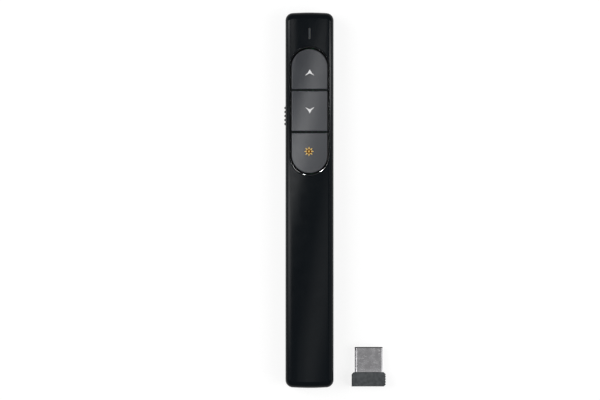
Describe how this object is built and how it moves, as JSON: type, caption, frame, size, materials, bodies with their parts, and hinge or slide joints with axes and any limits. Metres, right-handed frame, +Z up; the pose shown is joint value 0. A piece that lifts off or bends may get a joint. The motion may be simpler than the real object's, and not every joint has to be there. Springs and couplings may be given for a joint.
{
  "type": "wireless presentation clicker",
  "caption": "Slim black presentation remote with grey page up, page down and laser keys in a stadium, a ribbed side power slider, a back battery door and a nano USB receiver beside it.",
  "frame": {"origin": "centre of the handset's flat back, which lies on the table", "axes": "+Y along the handset towards its laser end, +Z up out of the key face, +X to the right with the laser end pointing away from the viewer"},
  "size_m": [0.0432, 0.16, 0.0147],
  "materials": {
    "housing_black": "satin moulded, cool near-black",
    "key_grey": "fine matte, slightly soft grey",
    "slider_black": "satin moulded black",
    "moulded_black": "moulded black",
    "circuit_board": "green solder resist",
    "capacitor_tan": "fired ceramic",
    "smoked_light_pipe": "smoked translucent",
    "led_white": "clear cast resin",
    "clear_lens": "polished",
    "barrel_brass": "turned",
    "battery_jacket": "printed film jacket",
    "plated_steel": "nickel plated",
    "screw_zinc": "black zinc",
    "magnet_nickel": "nickel plated",
    "receiver_grey": "fine textured dark grey",
    "plug_steel": "plated stamped steel",
    "contact_gold": "gold plated"
  },
  "bodies": {
    "handset": {"upper_housing": "housing_black", "lower_housing": "housing_black", "tact_switch_bodies": "moulded_black", "main_circuit_board": "circuit_board", "controller_chip": "moulded_black", "crystal_can": "plated_steel", "capacitors": "capacitor_tan", "slide_switch_body": "plated_steel", "indicator_light_pipe": "smoked_light_pipe", "indicator_led": "led_white", "laser_barrel": "barrel_brass", "laser_lens": "clear_lens", "laser_driver_board": "circuit_board", "laser_window": "clear_lens", "battery_can": "battery_jacket", "battery_positive_cap": "plated_steel", "battery_spring": "plated_steel", "battery_negative_contact": "plated_steel", "battery_positive_contact": "plated_steel", "housing_screws": "screw_zinc", "receiver_dock": "moulded_black", "dock_magnet": "magnet_nickel"},
    "page_up": {"page_up_key": "key_grey", "page_up_plunger": "moulded_black"},
    "page_down": {"page_down_key": "key_grey", "page_down_plunger": "moulded_black"},
    "laser_button": {"laser_key": "key_grey", "laser_plunger": "moulded_black"},
    "power_switch": {"power_slider": "slider_black", "slide_switch_lever": "moulded_black"},
    "door": {"battery_door": "housing_black"},
    "receiver": {"receiver_grip": "receiver_grey", "receiver_plug_shell": "plug_steel", "receiver_board": "circuit_board", "receiver_contacts": "contact_gold", "receiver_chip": "moulded_black"}
  },
  "joints": [
    {"name": "page_up_press", "type": "slide", "parent": "handset", "child": "page_up", "axis": [0, 0, -1], "range_m": [0, 0.0004], "stiffness_N_per_m": 1500, "springref_m": -0.0002},
    {"name": "page_down_press", "type": "slide", "parent": "handset", "child": "page_down", "axis": [0, 0, -1], "range_m": [0, 0.0004], "stiffness_N_per_m": 1500, "springref_m": -0.0002},
    {"name": "laser_press", "type": "slide", "parent": "handset", "child": "laser_button", "axis": [0, 0, -1], "range_m": [0, 0.0004], "stiffness_N_per_m": 1500, "springref_m": -0.0002},
    {"name": "power_slide", "type": "slide", "parent": "handset", "child": "power_switch", "axis": [0, 1, 0], "range_m": [0, 0.002]},
    {"name": "battery_door_slide", "type": "slide", "parent": "handset", "child": "door", "axis": [0, -1, 0], "range_m": [0, 0.0875]},
    {"name": "receiver_lift", "type": "slide", "parent": "handset", "child": "receiver", "axis": [0, 0, 1], "range_m": [0, 0.03]}
  ]
}
